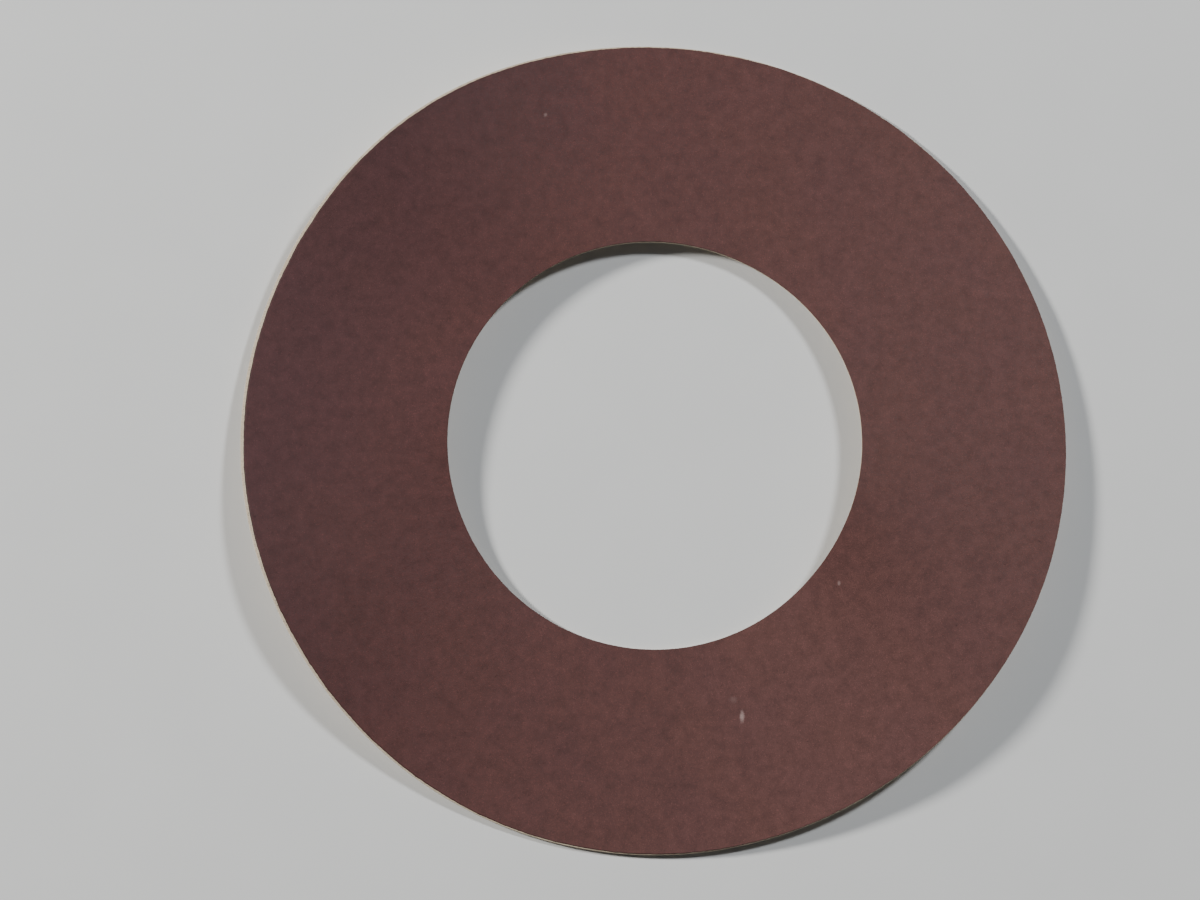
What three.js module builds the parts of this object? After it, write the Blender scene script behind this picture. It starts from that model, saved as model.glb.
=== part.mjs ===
// Abrasive ring: a round, die-cut sheet of coated abrasive with a large centre hole.
//
// The sheet is a bonded stack of four thin layers: a paper backing, the resin make coat that
// holds the grain, the abrasive grain itself, and the thin resin size coat that locks the grain.
//
// Millimetres, +Z up. The ring lies on its backing: the origin is the centre of its back face,
// the hole's axis is Z, and the abrasive side faces +Z.

import * as THREE from "three";

// Driving dimensions
const OUTER_DIAMETER = 100;
const HOLE_DIAMETER = 50;
const BACKING_THICKNESS = 0.26;
const MAKE_COAT_THICKNESS = 0.03;
const GRAIN_THICKNESS = 0.09;
const SIZE_COAT_THICKNESS = 0.02;

// The cutting die breaks the brittle coats away from the backing's two cut edges.
const BARE_OUTER_STRIP = 0.15;
const BARE_HOLE_STRIP = 0.06;

// The die presses the backing's top corners down into small slopes as it goes in.
const DIE_ROLL_WIDTH = 0.05;
const DIE_ROLL_DEPTH = 0.03;

// Each coat wets the one under it a little less far out, so the cut coats slope at the rim.
const COAT_SLOPE = 0.04;

const SIDES = 144;

const OUTER_RADIUS = OUTER_DIAMETER / 2;
const HOLE_RADIUS = HOLE_DIAMETER / 2;

const COLOURS = {
  backing: { color: 0xd8c8a4, roughness: 0.9 },
  resin: { color: 0x3d2019, roughness: 0.45 },
  grain: { color: 0x5e423c, roughness: 0.85 },
  sizeCoat: { color: 0x553733, roughness: 0.7 },
};

// A ring turned about Z from a closed outline of [radius, height] corners.
function turnedRing(name, corners, look) {
  const outline = [...corners, corners[0]].map(([r, z]) => new THREE.Vector2(r, z));
  const geometry = new THREE.LatheGeometry(outline, SIDES);
  geometry.rotateX(Math.PI / 2);
  const material = new THREE.MeshStandardMaterial({ ...look, metalness: 0 });
  const ring = new THREE.Mesh(geometry, material);
  ring.name = name;
  return ring;
}

// The paper: full width, with the die's small roll along both top corners.
function backingSheet() {
  const top = BACKING_THICKNESS;
  const rolled = top - DIE_ROLL_DEPTH;
  const corners = [
    [HOLE_RADIUS, 0],
    [OUTER_RADIUS, 0],
    [OUTER_RADIUS, rolled],
    [OUTER_RADIUS - DIE_ROLL_WIDTH, top],
    [HOLE_RADIUS + DIE_ROLL_WIDTH, top],
    [HOLE_RADIUS, rolled],
  ];
  return turnedRing("backing_sheet", corners, COLOURS.backing);
}

// A coat on the backing. level counts the coats under it, which set how far its rims step back.
function coat(name, level, bottom, thickness, look) {
  const inner = HOLE_RADIUS + BARE_HOLE_STRIP + level * COAT_SLOPE;
  const outer = OUTER_RADIUS - BARE_OUTER_STRIP - level * COAT_SLOPE;
  const corners = [
    [inner, bottom],
    [outer, bottom],
    [outer - COAT_SLOPE, bottom + thickness],
    [inner + COAT_SLOPE, bottom + thickness],
  ];
  return turnedRing(name, corners, look);
}

const makeCoatBottom = BACKING_THICKNESS;
const grainBottom = makeCoatBottom + MAKE_COAT_THICKNESS;
const sizeCoatBottom = grainBottom + GRAIN_THICKNESS;

const abrasiveRing = new THREE.Group();
abrasiveRing.add(
  backingSheet(),
  coat("make_coat", 0, makeCoatBottom, MAKE_COAT_THICKNESS, COLOURS.resin),
  coat("grain_layer", 1, grainBottom, GRAIN_THICKNESS, COLOURS.grain),
  coat("size_coat", 2, sizeCoatBottom, SIZE_COAT_THICKNESS, COLOURS.sizeCoat),
);

export default abrasiveRing;
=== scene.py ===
"""Looks of the abrasive ring: a die-cut, paper-backed sheet that has curled, lying grain side up.

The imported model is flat, as the ring is when it is mounted. Here the same four layers follow the
loose sheet's curl. All lengths are in metres, and angles run anticlockwise from +X seen from above.
"""

import math

import bpy
import numpy as np
from mathutils import Matrix, Vector


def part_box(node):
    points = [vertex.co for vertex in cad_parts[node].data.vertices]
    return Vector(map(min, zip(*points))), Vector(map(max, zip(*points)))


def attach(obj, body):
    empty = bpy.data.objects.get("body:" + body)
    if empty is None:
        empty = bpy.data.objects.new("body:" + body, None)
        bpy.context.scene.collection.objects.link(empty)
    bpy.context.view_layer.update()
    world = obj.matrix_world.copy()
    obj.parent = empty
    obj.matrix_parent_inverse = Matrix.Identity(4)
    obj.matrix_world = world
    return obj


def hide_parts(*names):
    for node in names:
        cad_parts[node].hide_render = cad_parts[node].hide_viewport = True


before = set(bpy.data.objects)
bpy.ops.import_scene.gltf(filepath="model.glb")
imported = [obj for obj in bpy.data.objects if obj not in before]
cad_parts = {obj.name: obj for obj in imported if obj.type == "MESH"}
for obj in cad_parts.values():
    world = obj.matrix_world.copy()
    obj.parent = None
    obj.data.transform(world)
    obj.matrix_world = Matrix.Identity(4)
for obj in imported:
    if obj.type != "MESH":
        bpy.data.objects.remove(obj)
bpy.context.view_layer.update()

MM = 0.001


# ---- The flat ring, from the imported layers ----


def rims(node):
    """Radii of a layer's hole rim and outer rim."""
    radii = [vertex.co.xy.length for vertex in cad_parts[node].data.vertices]
    return min(radii), max(radii)


HOLE_RADIUS, OUTER_RADIUS = rims("backing_sheet")
SHEET_WIDTH = OUTER_RADIUS - HOLE_RADIUS
BACKING_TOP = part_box("make_coat")[0].z
GRAIN_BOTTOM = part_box("grain_layer")[0].z
SIZE_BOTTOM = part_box("size_coat")[0].z
SIZE_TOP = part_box("size_coat")[1].z


# ---- The curl ----

# Each rim rises in a few soft swells: a swell's direction in degrees, its height and its breadth
# in degrees. Between the two rims the sheet is straight along each radius.
OUTER_SWELLS = [(320, 3.0 * MM, 24), (201, 4.4 * MM, 21), (128, 4.5 * MM, 18), (8, 0.8 * MM, 22)]
HOLE_SWELLS = [(112, 2.0 * MM, 35), (336, 2.8 * MM, 19), (171, 2.0 * MM, 32), (15, 2.9 * MM, 28)]

SLOPE_STEP = 0.1 * MM


def swell_height(angle, swells):
    """Height of a rim at an angle in radians."""
    total = np.zeros_like(angle)
    for direction, height, breadth in swells:
        turn = np.cos(angle - math.radians(direction)) - 1
        total += height * np.exp(turn / math.radians(breadth) ** 2)
    return total


def lift(radius, angle):
    """Height of the sheet's back over the floor."""
    hole_rim = swell_height(angle, HOLE_SWELLS)
    outer_rim = swell_height(angle, OUTER_SWELLS)
    return hole_rim + (outer_rim - hole_rim) * (radius - HOLE_RADIUS) / SHEET_WIDTH


def curled(radius, angle, height):
    """Points of the flat sheet, at a height in its thickness, moved onto the curled sheet."""
    base = lift(radius, angle)
    slope_out = (lift(radius + SLOPE_STEP, angle) - base) / SLOPE_STEP
    slope_round = (lift(radius, angle + SLOPE_STEP / radius) - base) / SLOPE_STEP
    length = np.sqrt(1 + slope_out**2 + slope_round**2)
    outward = radius - height * slope_out / length
    sideways = -height * slope_round / length
    x = outward * np.cos(angle) - sideways * np.sin(angle)
    y = outward * np.sin(angle) + sideways * np.cos(angle)
    return np.stack([x, y, base + height / length], axis=-1)


# ---- Meshes ----

RIM_COLUMNS = 2400
FACE_COLUMNS = 1200
SHARP_ANGLE = math.radians(50)


def add_mesh(name, vertices, faces, smooth=True):
    """A mesh object from arrays of points and faces."""
    mesh = bpy.data.meshes.new(name)
    mesh.from_pydata(vertices.reshape(-1, 3).tolist(), [], faces.tolist())
    mesh.polygons.foreach_set("use_smooth", [smooth] * len(mesh.polygons))
    if smooth:
        mesh.set_sharp_from_angle(angle=SHARP_ANGLE)
    mesh.update()
    piece = bpy.data.objects.new(name, mesh)
    bpy.context.scene.collection.objects.link(piece)
    return piece


def angles_of(columns):
    """The angle of every column round the ring."""
    return np.linspace(0, math.tau, columns, endpoint=False)


def closed_band(name, outline):
    """A closed ring from its outline, a list of (radii, heights).

    Radii holds a value for every column round. Heights may do the same, or be one number.
    """
    radii = np.stack([np.asarray(point[0]) for point in outline], axis=1)
    columns, points = radii.shape
    heights = np.stack([np.broadcast_to(point[1], columns) for point in outline], axis=1)
    vertices = curled(radii, angles_of(columns)[:, None], heights)
    column, point = np.meshgrid(np.arange(columns), np.arange(points), indexing="ij")
    next_column = (column + 1) % columns
    next_point = (point + 1) % points
    corners = [
        column * points + point,
        next_column * points + point,
        next_column * points + next_point,
        column * points + next_point,
    ]
    return add_mesh(name, vertices, np.stack(corners, axis=-1).reshape(-1, 4))


def wander(rng, angle, depth, fewest, most):
    """A seeded wobble round the ring, made of waves from fewest to most per turn, up to depth."""
    total = np.zeros_like(angle)
    for count in range(fewest, most + 1):
        total += math.sqrt(fewest / count) * np.cos(count * angle + rng.uniform(0, math.tau))
    return total * depth / np.abs(total).max()


def frayed(rng, columns, depth):
    """A seeded value for every column, from minus depth to depth, as torn fibres or crumbs make."""
    return rng.uniform(-depth, depth, columns)


# ---- The layers ----

# The paper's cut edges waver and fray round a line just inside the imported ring's. A wander is a
# depth, and the fewest and most waves per turn.
EDGE_INSET = 0.02 * MM
EDGE_WANDER = (0.015 * MM, 40, 600)
FIBRE_FRAY = 0.012 * MM

ROLL_WIDTH = 0.05 * MM
ROLL_DEPTH = 0.03 * MM


def backing_paper():
    """The paper: its cut edges are fibrous, and the die has rolled the outer top corner down."""
    rng = np.random.default_rng(3)
    angle = angles_of(RIM_COLUMNS)
    hole = HOLE_RADIUS + EDGE_INSET + wander(rng, angle, *EDGE_WANDER)
    outer = OUTER_RADIUS - EDGE_INSET + wander(rng, angle, *EDGE_WANDER)
    edge_heights = np.linspace(0.2, 0.8, 4) * (BACKING_TOP - ROLL_DEPTH)
    outer_edge = [(outer + frayed(rng, RIM_COLUMNS, FIBRE_FRAY), z) for z in edge_heights]
    hole_edge = [(hole + frayed(rng, RIM_COLUMNS, FIBRE_FRAY), z) for z in edge_heights[::-1]]
    return closed_band(
        "backing_paper",
        [
            (hole, 0),
            (outer, 0),
            *outer_edge,
            (outer, BACKING_TOP - ROLL_DEPTH),
            (outer - ROLL_WIDTH / 2, BACKING_TOP - ROLL_DEPTH / 4),
            (outer - ROLL_WIDTH, BACKING_TOP),
            (hole, BACKING_TOP),
            *hole_edge,
        ],
    )


# The bare strip of paper at the outer rim is widest on one side, and the die has dragged the coats
# nearly over the hole's edge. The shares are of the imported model's strips.
BARE_STRIP_SIDE = math.radians(170)
NARROWEST_STRIP = 0.3
WIDEST_STRIP = 2.4
HOLE_STRIP = 0.4

# How far a coat's broken rims stray.
COAT_OUTER_WANDER = (0.05 * MM, 12, 500)
COAT_HOLE_WANDER = (0.02 * MM, 20, 500)

# The coats' cut faces crumble by about this much.
CRUMB_DEPTH = 0.022 * MM


def coat_rims(node, columns):
    """Radii of a coat's ragged rims."""
    rng = np.random.default_rng(5)
    angle = angles_of(columns)
    coat_hole, coat_outer = rims(node)
    nearness = ((1 + np.cos(angle - BARE_STRIP_SIDE)) / 2) ** 2
    share = NARROWEST_STRIP + (WIDEST_STRIP - NARROWEST_STRIP) * nearness
    outer = OUTER_RADIUS - (OUTER_RADIUS - coat_outer) * share
    hole = HOLE_RADIUS + (coat_hole - HOLE_RADIUS) * HOLE_STRIP
    ragged_outer = outer + wander(rng, angle, *COAT_OUTER_WANDER)
    ragged_hole = hole + wander(rng, angle, *COAT_HOLE_WANDER)
    return ragged_hole, np.minimum(ragged_outer, OUTER_RADIUS - ROLL_WIDTH)


def make_film():
    """The resin film that holds the grain, seen as a thin dark line at the rims."""
    rng = np.random.default_rng(21)
    hole, outer = coat_rims("make_coat", RIM_COLUMNS)
    middle = (BACKING_TOP + GRAIN_BOTTOM) / 2
    crumbs = [frayed(rng, RIM_COLUMNS, CRUMB_DEPTH / 2) for _ in range(2)]
    return closed_band(
        "make_film",
        [
            (hole, BACKING_TOP),
            (outer, BACKING_TOP),
            (outer - CRUMB_DEPTH + crumbs[0], middle),
            (outer - CRUMB_DEPTH, GRAIN_BOTTOM),
            (hole + CRUMB_DEPTH, GRAIN_BOTTOM),
            (hole + CRUMB_DEPTH + crumbs[1], middle),
        ],
    )


def grain_bed():
    """The grain under the size coat: a broken, crumbly edge at both rims."""
    rng = np.random.default_rng(22)
    hole, outer = coat_rims("grain_layer", RIM_COLUMNS)
    edge_heights = np.linspace(GRAIN_BOTTOM, SIZE_BOTTOM, 6)[1:-1]
    outer_edge = [(outer + frayed(rng, RIM_COLUMNS, CRUMB_DEPTH), z) for z in edge_heights]
    hole_edge = [(hole + frayed(rng, RIM_COLUMNS, CRUMB_DEPTH), z) for z in edge_heights[::-1]]
    return closed_band(
        "grain_bed",
        [
            (hole, GRAIN_BOTTOM),
            (outer, GRAIN_BOTTOM),
            *outer_edge,
            (outer - CRUMB_DEPTH, SIZE_BOTTOM),
            (hole + CRUMB_DEPTH, SIZE_BOTTOM),
            *hole_edge,
        ],
    )


# The face's relief reaches its full depth a little way in from both rims.
FACE_ROWS = 68
RELIEF = 0.006 * MM
RELIEF_RISE = 20


def size_film():
    """The face: a thin skin over the grain, which pushes it up into a fine relief."""
    rng = np.random.default_rng(23)
    hole, outer = coat_rims("size_coat", FACE_COLUMNS)
    face = []
    for share in np.linspace(0, 1, FACE_ROWS):
        strength = min(1, RELIEF_RISE * share * (1 - share))
        bumps = rng.normal(0, RELIEF, FACE_COLUMNS) * strength
        radius = outer + (hole - outer) * share
        face.append((radius, SIZE_TOP - RELIEF + np.clip(bumps, -3 * RELIEF, RELIEF)))
    return closed_band("size_film", [(hole, SIZE_BOTTOM), (outer, SIZE_BOTTOM), *face])


# A grain is an uneven double pyramid: four corners round its waist, one above and one below.
# It is squashed in height, because grains lie down in the resin.
WAIST = [(1, 0, 0), (0, 1, 0), (-1, 0, 0), (0, -1, 0)]
GRAIN_CORNERS = [*WAIST, (0, 0, 1), (0, 0, -1)]
UPPER_SIDES = [(0, 1, 4), (1, 2, 4), (2, 3, 4), (3, 0, 4)]
LOWER_SIDES = [(1, 0, 5), (2, 1, 5), (3, 2, 5), (0, 3, 5)]
GRAIN_SIDES = UPPER_SIDES + LOWER_SIDES
GRAIN_UNEVENNESS = (0.6, 1.3)
GRAIN_SQUASH = 0.6


def grains(name, rng, radius, angle, height, sizes):
    """Separate faceted grains, one for every radius and angle, in one mesh."""
    count = len(radius)
    centre = curled(radius, angle, np.full(count, height))
    size = rng.uniform(*sizes, (count, 1, 1))
    unevenness = rng.uniform(*GRAIN_UNEVENNESS, (count, len(GRAIN_CORNERS), 3))
    points = np.array(GRAIN_CORNERS) * unevenness * size
    turn = rng.uniform(0, math.tau, (count, 1))
    x = points[..., 0] * np.cos(turn) - points[..., 1] * np.sin(turn)
    y = points[..., 0] * np.sin(turn) + points[..., 1] * np.cos(turn)
    vertices = np.stack([x, y, points[..., 2] * GRAIN_SQUASH], axis=-1) + centre[:, None, :]
    first = np.arange(count)[:, None, None] * len(GRAIN_CORNERS)
    faces = (first + np.array(GRAIN_SIDES)).reshape(-1, 3)
    return add_mesh(name, vertices, faces, smooth=False)


PROUD_COUNT = 5200
PROUD_SIZES = (0.035 * MM, 0.065 * MM)
PROUD_DEPTH = 0.016 * MM
PROUD_HOLE_MARGIN = 0.2 * MM
PROUD_OUTER_MARGIN = 0.3 * MM


def proud_grains():
    """The largest grains, which stand a little out of the size coat."""
    rng = np.random.default_rng(11)
    coat_hole, coat_outer = rims("size_coat")
    inner = coat_hole + PROUD_HOLE_MARGIN
    outer = coat_outer - PROUD_OUTER_MARGIN
    radius = np.sqrt(rng.uniform(inner**2, outer**2, PROUD_COUNT))
    angle = rng.uniform(0, math.tau, PROUD_COUNT)
    return grains("proud_grains", rng, radius, angle, SIZE_TOP - PROUD_DEPTH, PROUD_SIZES)


CRUMB_COUNT = 900
CRUMB_SIZES = (0.02 * MM, 0.04 * MM)
CRUMB_HEIGHT = 0.012 * MM
CRUMBS_UNDER_COAT = 0.1 * MM
CRUMBS_FROM_EDGE = 0.04 * MM


def rim_crumbs():
    """Grains that the die broke loose, caught on the bare strip of paper at the outer rim."""
    rng = np.random.default_rng(12)
    coat_outer = rims("make_coat")[1]
    innermost = coat_outer - CRUMBS_UNDER_COAT
    radius = rng.uniform(innermost, OUTER_RADIUS - CRUMBS_FROM_EDGE, CRUMB_COUNT)
    angle = rng.uniform(0, math.tau, CRUMB_COUNT)
    return grains("rim_crumbs", rng, radius, angle, BACKING_TOP + CRUMB_HEIGHT, CRUMB_SIZES)


# ---- Materials ----


def new_material(name):
    """A material, its node tree, its shader, and where in the object each point is, in metres."""
    made = bpy.data.materials.new(name)
    made.use_nodes = True
    tree = made.node_tree
    where = tree.nodes.new("ShaderNodeTexCoord").outputs["Object"]
    return made, tree, tree.nodes["Principled BSDF"], where


def noise(tree, where, size, detail=2.0, roughness=0.5):
    """Soft noise whose lumps are about size across, from 0 to 1."""
    node = tree.nodes.new("ShaderNodeTexNoise")
    node.inputs["Scale"].default_value = 1 / size
    node.inputs["Detail"].default_value = detail
    node.inputs["Roughness"].default_value = roughness
    tree.links.new(where, node.inputs["Vector"])
    return node.outputs["Fac"]


def cells(tree, where, size):
    """Voronoi cells about size across: the distance from each cell's middle, and a chance value."""
    node = tree.nodes.new("ShaderNodeTexVoronoi")
    node.inputs["Scale"].default_value = 1 / size
    tree.links.new(where, node.inputs["Vector"])
    split = tree.nodes.new("ShaderNodeSeparateColor")
    tree.links.new(node.outputs["Color"], split.inputs["Color"])
    return node.outputs["Distance"], split.outputs["Red"]


def map_range(tree, value, low, high, to_low, to_high):
    """value, moved so that low becomes to_low and high becomes to_high, and clamped there."""
    node = tree.nodes.new("ShaderNodeMapRange")
    ends = {"From Min": low, "From Max": high, "To Min": to_low, "To Max": to_high}
    for socket, number in ends.items():
        node.inputs[socket].default_value = number
    tree.links.new(value, node.inputs["Value"])
    return node.outputs["Result"]


def math_node(tree, operation, first, second):
    """An operation on two values, each a socket or a number."""
    node = tree.nodes.new("ShaderNodeMath")
    node.operation = operation
    for socket, value in zip(node.inputs, (first, second)):
        if isinstance(value, (int, float)):
            socket.default_value = value
        else:
            tree.links.new(value, socket)
    return node.outputs["Value"]


def mix_colour(tree, blend, share, first, second):
    """Mixes two colours, each a socket or three numbers. share is a socket or a number."""
    node = tree.nodes.new("ShaderNodeMix")
    node.data_type = "RGBA"
    node.blend_type = blend
    colours = [socket for socket in node.inputs if socket.type == "RGBA"]
    for socket, value in zip((node.inputs["Factor"], *colours), (share, first, second)):
        if isinstance(value, bpy.types.NodeSocket):
            tree.links.new(value, socket)
        elif isinstance(value, (int, float)):
            socket.default_value = value
        else:
            socket.default_value = (*value, 1)
    return next(socket for socket in node.outputs if socket.type == "RGBA")


def ramp(tree, factor, stops):
    """Colours along a factor: stops are (place, colour) pairs."""
    node = tree.nodes.new("ShaderNodeValToRGB")
    for _ in range(len(stops) - 2):
        node.color_ramp.elements.new(0.5)
    for element, (place, colour) in zip(node.color_ramp.elements, stops):
        element.position = place
        element.color = (*colour, 1)
    tree.links.new(factor, node.inputs["Fac"])
    return node.outputs["Color"]


def bump(tree, shader, height, distance, strength, under=None):
    """Fine relief on a shader's surface, on top of the relief under it if there is any."""
    node = tree.nodes.new("ShaderNodeBump")
    node.inputs["Distance"].default_value = distance
    node.inputs["Strength"].default_value = strength
    tree.links.new(height, node.inputs["Height"])
    if under:
        tree.links.new(under, node.inputs["Normal"])
    tree.links.new(node.outputs["Normal"], shader.inputs["Normal"])
    return node.outputs["Normal"]


def grey(level):
    """A neutral shade."""
    return (level, level, level)


BROWN = (0.1185, 0.0485, 0.0425)

# Sizes of a grain, of a clump of grains, of a patch of another hue and of a dark pit.
GRAIN_SIZE = 0.075 * MM
CLUMP_SIZE = 1.4 * MM
HUE_PATCH_SIZE = 9 * MM
PIT_SIZE = 0.3 * MM

# The face is darker and cooler towards one side: painted shade, put into the colour for the way the
# light falls across it. Each stop is a place across the ring, from 0 at the bright rim to 1 at the
# dark one, and the share of BROWN's red, green and blue left there.
SHADED_SIDE = math.radians(160)
SIDE_SHADE = [
    (0.1, (1.03, 1.03, 1.04)),
    (0.4, (0.91, 0.87, 0.89)),
    (0.7, (0.87, 0.775, 0.805)),
    (0.93, (0.615, 0.555, 0.665)),
]


def painted_side_shade(tree, where):
    """The share of BROWN left at each place across the face: painted shade, darker and cooler
    towards one side.
    """
    across = tree.nodes.new("ShaderNodeVectorMath")
    across.operation = "DOT_PRODUCT"
    across.inputs[1].default_value = (math.cos(SHADED_SIDE), math.sin(SHADED_SIDE), 0)
    tree.links.new(where, across.inputs[0])
    share = map_range(tree, across.outputs["Value"], -OUTER_RADIUS, OUTER_RADIUS, 0, 1)
    return ramp(tree, share, SIDE_SHADE)


# Pale marks rubbed on the face: where each lies, half its length along X and Y, and its strength.
SCUFFS = [
    ((-13.0 * MM, 40.8 * MM), (0.28 * MM, 0.34 * MM), 0.35),
    ((10.35 * MM, -33.3 * MM), (0.34 * MM, 0.9 * MM), 0.7),
    ((22.1 * MM, -17.4 * MM), (0.22 * MM, 0.4 * MM), 0.4),
    ((9.3 * MM, -31.2 * MM), (0.6 * MM, 0.5 * MM), 0.12),
]
SCUFF_COLOUR = (0.42, 0.3, 0.28)
SCUFF_ROUGHNESS_SIZE = 0.25 * MM


def scuff_mask(tree, where):
    """1 in the middle of a pale mark, and 0 away from them all."""
    total = 0.0
    rough = noise(tree, where, SCUFF_ROUGHNESS_SIZE)
    for (x, y), (half_x, half_y), strength in SCUFFS:
        node = tree.nodes.new("ShaderNodeMapping")
        node.inputs["Location"].default_value = (-x / half_x, -y / half_y, 0)
        node.inputs["Scale"].default_value = (1 / half_x, 1 / half_y, 0)
        tree.links.new(where, node.inputs["Vector"])
        length = tree.nodes.new("ShaderNodeVectorMath")
        length.operation = "LENGTH"
        tree.links.new(node.outputs["Vector"], length.inputs[0])
        ragged = math_node(tree, "ADD", length.outputs["Value"], rough)
        total = math_node(tree, "ADD", total, map_range(tree, ragged, 0.8, 1.5, strength, 0))
    return total


def brown_grain(name, level, scuffed):
    """Resin-bound brown grain: every grain its own shade, in clumps, with dark pits between."""
    made, tree, shader, where = new_material(name)
    middle, chance = cells(tree, where, GRAIN_SIZE)
    grain_shades = [(0, grey(0.8)), (0.5, grey(0.98)), (0.93, grey(1.12)), (1, grey(1.6))]
    shades = ramp(tree, chance, grain_shades)
    colour = mix_colour(tree, "MULTIPLY", 1.0, shades, [c * level for c in BROWN])
    clumps = noise(tree, where, CLUMP_SIZE, detail=4.0, roughness=0.7)
    clump_shade = map_range(tree, clumps, 0.25, 0.75, 0.76, 1.24)
    colour = mix_colour(tree, "MULTIPLY", 1.0, colour, clump_shade)
    drift = noise(tree, where, HUE_PATCH_SIZE)
    hues = ramp(tree, drift, [(0.3, (0.985, 0.985, 1.02)), (0.7, (1.015, 1.01, 0.985))])
    colour = mix_colour(tree, "MULTIPLY", 1.0, colour, hues)
    pits = ramp(tree, noise(tree, where, PIT_SIZE), [(0.24, grey(0.7)), (0.34, grey(1))])
    colour = mix_colour(tree, "MULTIPLY", 1.0, colour, pits)
    # Painted shade: the face is darker and cooler towards one side.
    colour = mix_colour(tree, "MULTIPLY", 1.0, colour, painted_side_shade(tree, where))
    if scuffed:
        colour = mix_colour(tree, "MIX", scuff_mask(tree, where), colour, SCUFF_COLOUR)
    tree.links.new(colour, shader.inputs["Base Color"])
    gloss = map_range(tree, chance, 0, 1, 0.5, 0.82)
    tree.links.new(gloss, shader.inputs["Roughness"])
    shader.inputs["Specular IOR Level"].default_value = 0.35
    clumped = bump(tree, shader, clumps, 0.03 * MM, 0.5)
    bump(tree, shader, middle, -0.03 * MM, 0.5, clumped)
    return made


def dark_resin():
    """The make coat: dark, slightly glossy resin with grain pressed into it."""
    made, tree, shader, where = new_material("dark_resin")
    flow = noise(tree, where, 0.2 * MM, detail=3.0)
    colour = ramp(tree, flow, [(0.3, (0.022, 0.011, 0.008)), (0.7, (0.05, 0.024, 0.017))])
    tree.links.new(colour, shader.inputs["Base Color"])
    tree.links.new(map_range(tree, flow, 0.3, 0.7, 0.35, 0.55), shader.inputs["Roughness"])
    bump(tree, shader, flow, 0.01 * MM, 0.6)
    return made


def stretched(tree, where, turn, squeeze):
    """Coordinates turned about Z and squeezed along one axis, so that noise there makes streaks."""
    node = tree.nodes.new("ShaderNodeMapping")
    node.inputs["Rotation"].default_value = (0, 0, turn)
    node.inputs["Scale"].default_value = (squeeze, 1, 1)
    tree.links.new(where, node.inputs["Vector"])
    return node.outputs["Vector"]


CLOUD_SIZE = 3 * MM
FLECK_SIZE = 0.35 * MM

# Sets of fibres: which way each set is turned, in radians, and how thick its fibres are.
SHADED_FIBRES = [(0.3, 0.09 * MM), (1.7, 0.07 * MM), (2.6, 0.12 * MM)]
SHADED_SQUEEZE = 0.12
RAISED_FIBRES = [(0.3, 0.12 * MM), (1.7, 0.1 * MM)]
RAISED_SQUEEZE = 0.15
FIBRE_RELIEF = 0.03 * MM


def cream_paper():
    """The backing: cream paper with crossing fibres, faint clouding and a few darker flecks."""
    made, tree, shader, where = new_material("cream_paper")
    clouds = noise(tree, where, CLOUD_SIZE, detail=4.0, roughness=0.6)
    colour = ramp(tree, clouds, [(0.3, (0.62, 0.505, 0.375)), (0.7, (0.67, 0.56, 0.43))])
    for turn, size in SHADED_FIBRES:
        fibres = noise(tree, stretched(tree, where, turn, SHADED_SQUEEZE), size)
        shade = map_range(tree, fibres, 0.3, 0.7, 0.9, 1.08)
        colour = mix_colour(tree, "MULTIPLY", 1.0, colour, shade)
    flecks = ramp(tree, noise(tree, where, FLECK_SIZE), [(0.2, grey(0.62)), (0.27, grey(1))])
    colour = mix_colour(tree, "MULTIPLY", 1.0, colour, flecks)
    tree.links.new(colour, shader.inputs["Base Color"])
    tree.links.new(map_range(tree, clouds, 0.2, 0.8, 0.78, 0.92), shader.inputs["Roughness"])
    shader.inputs["Specular IOR Level"].default_value = 0.3
    relief = None
    for turn, size in RAISED_FIBRES:
        fibres = noise(tree, stretched(tree, where, turn, RAISED_SQUEEZE), size)
        relief = bump(tree, shader, fibres, FIBRE_RELIEF, 0.5, relief)
    return made


def floor_paper():
    """Plain pale paper with a barely seen mottle."""
    made, tree, shader, where = new_material("floor_paper")
    mottle = noise(tree, where, 12 * MM, detail=4.0)
    colour = ramp(tree, mottle, [(0.3, (0.80, 0.805, 0.80)), (0.7, (0.82, 0.825, 0.82))])
    tree.links.new(colour, shader.inputs["Base Color"])
    shader.inputs["Roughness"].default_value = 0.9
    return made


# ---- Studio and camera ----

FLOOR_SIZE = 4


def studio_floor():
    """The floor that the ring lies on, which isn't part of it."""
    bpy.ops.mesh.primitive_plane_add(size=FLOOR_SIZE)
    floor = bpy.context.object
    floor.name = "floor"
    floor.data.materials.append(floor_paper())


LIGHT_DISTANCE = 1.1
LIGHT_WIDTH = 0.18

# A strong warm light low on the left, and a weaker cool one on the right: each one's direction
# from the ring, power in watts and colour.
LIGHTS = {
    "left_light": ((-1.86, 0.57, 1), 14.6, (1, 0.985, 0.95)),
    "right_light": ((0.66, 0.54, 1), 6.6, (0.95, 0.975, 1)),
}


def studio_light(name, towards, power, colour):
    """A round soft light that faces the ring from a direction."""
    data = bpy.data.lights.new(name, "AREA")
    data.shape = "DISK"
    data.size = LIGHT_WIDTH
    data.energy = power
    data.color = colour
    lamp = bpy.data.objects.new(name, data)
    direction = Vector(towards).normalized()
    lamp.location = direction * LIGHT_DISTANCE
    lamp.rotation_mode = "QUATERNION"
    lamp.rotation_quaternion = direction.to_track_quat("Z", "Y")
    bpy.context.scene.collection.objects.link(lamp)


WORLD_COLOUR = (0.95, 0.97, 1, 1)
WORLD_STRENGTH = 0.045


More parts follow.
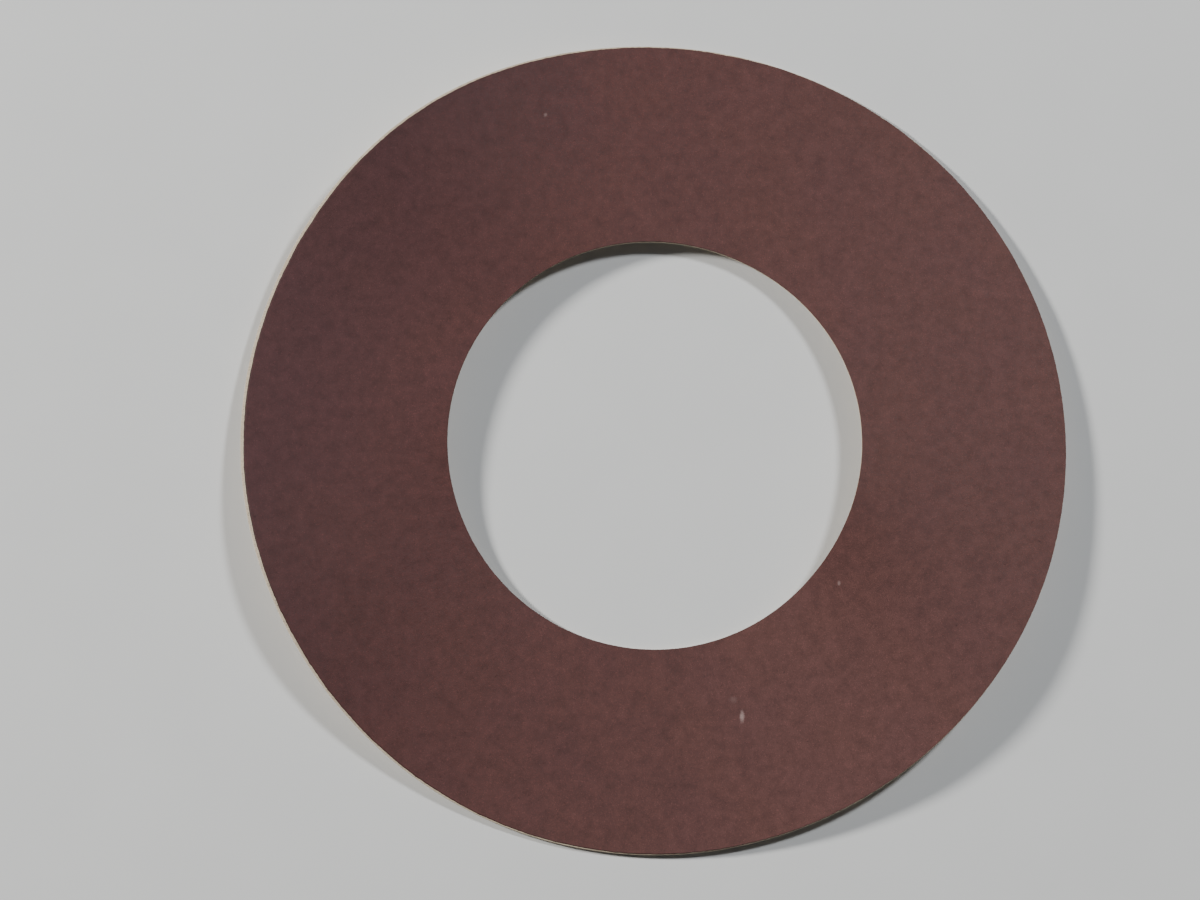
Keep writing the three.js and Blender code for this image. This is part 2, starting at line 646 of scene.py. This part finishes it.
def studio_world():
    """A faint cool glow from all round, which keeps the shadows from going black."""
    world = bpy.data.worlds.new("studio")
    world.use_nodes = True
    background = world.node_tree.nodes["Background"]
    background.inputs["Color"].default_value = WORLD_COLOUR
    background.inputs["Strength"].default_value = WORLD_STRENGTH
    bpy.context.scene.world = world


# The camera looks down on the ring from a little to the -Y side and a touch to the -X side.
CAMERA_TILT = math.radians(11.5)
CAMERA_LEAN = math.radians(1.8)
CAMERA_DISTANCE = 0.757
CAMERA_AIM = Vector((-6.5 * MM, -0.4 * MM, 0))
RING_SHARE_OF_WIDTH = 0.687


def camera():
    """The main camera: its lens is long enough for the ring to fill its share of the view."""
    data = bpy.data.cameras.new("camera")
    width_in_view = 2 * OUTER_RADIUS / RING_SHARE_OF_WIDTH
    data.lens = data.sensor_width * CAMERA_DISTANCE / width_in_view
    data.clip_start, data.clip_end = 0.01, 10
    made = bpy.data.objects.new("camera", data)
    sin_tilt, cos_tilt = math.sin(CAMERA_TILT), math.cos(CAMERA_TILT)
    sin_lean, cos_lean = math.sin(CAMERA_LEAN), math.cos(CAMERA_LEAN)
    right = Vector((cos_lean, -sin_lean * sin_tilt, sin_lean * cos_tilt))
    up = Vector((0, cos_tilt, sin_tilt))
    back = Vector((-sin_lean, -cos_lean * sin_tilt, cos_lean * cos_tilt))
    turn = Matrix((right, up, back)).transposed().to_4x4()
    made.matrix_world = Matrix.Translation(CAMERA_AIM + back * CAMERA_DISTANCE) @ turn
    bpy.context.scene.collection.objects.link(made)
    bpy.context.scene.camera = made


# ---- Putting it together ----


def dress(piece, look, node=None):
    """Gives a piece its material and body, and hides the CAD layer that it stands for."""
    piece.data.materials.append(look)
    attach(piece, "root")
    if node:
        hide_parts(node)


dress(backing_paper(), cream_paper(), "backing_sheet")
dress(make_film(), dark_resin(), "make_coat")
loose_grain = brown_grain("loose_grain", 0.95, scuffed=False)
dress(grain_bed(), loose_grain, "grain_layer")
dress(size_film(), brown_grain("coated_grain", 1.0, scuffed=True), "size_coat")
dress(proud_grains(), loose_grain)
dress(rim_crumbs(), loose_grain)

studio_floor()
for light_name, (towards, power, colour) in LIGHTS.items():
    studio_light(light_name, towards, power, colour)
studio_world()
camera()
